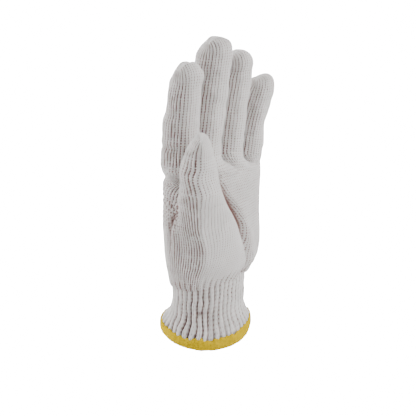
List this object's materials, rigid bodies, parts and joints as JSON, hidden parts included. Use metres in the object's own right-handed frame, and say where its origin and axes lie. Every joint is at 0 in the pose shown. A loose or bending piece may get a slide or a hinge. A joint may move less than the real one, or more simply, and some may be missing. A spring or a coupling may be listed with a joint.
{
  "type": "knitted work glove",
  "caption": "Seamless knitted cotton work glove for the left hand, with finger and thumb stalls, a palm tube, a ribbed cuff and a bound hem, open at the wrist.",
  "frame": {"origin": "centre of the cuff's opening, level with the lower edge of the hem, where the wrist goes in", "axes": "+Z from the wrist to the fingertips, -Y out of the palm, -X towards the thumb's side"},
  "size_m": [0.1115, 0.079, 0.2304],
  "materials": {
    "cotton_knit": "matt undyed cotton, plain knit",
    "overlock_yarn": "yellow overlock thread"
  },
  "bodies": {
    "root": {"index_stall": "cotton_knit", "middle_stall": "cotton_knit", "ring_stall": "cotton_knit", "little_stall": "cotton_knit", "thumb_stall": "cotton_knit", "palm_body": "cotton_knit", "rib_cuff": "cotton_knit", "hem_binding": "overlock_yarn"}
  },
  "joints": []
}
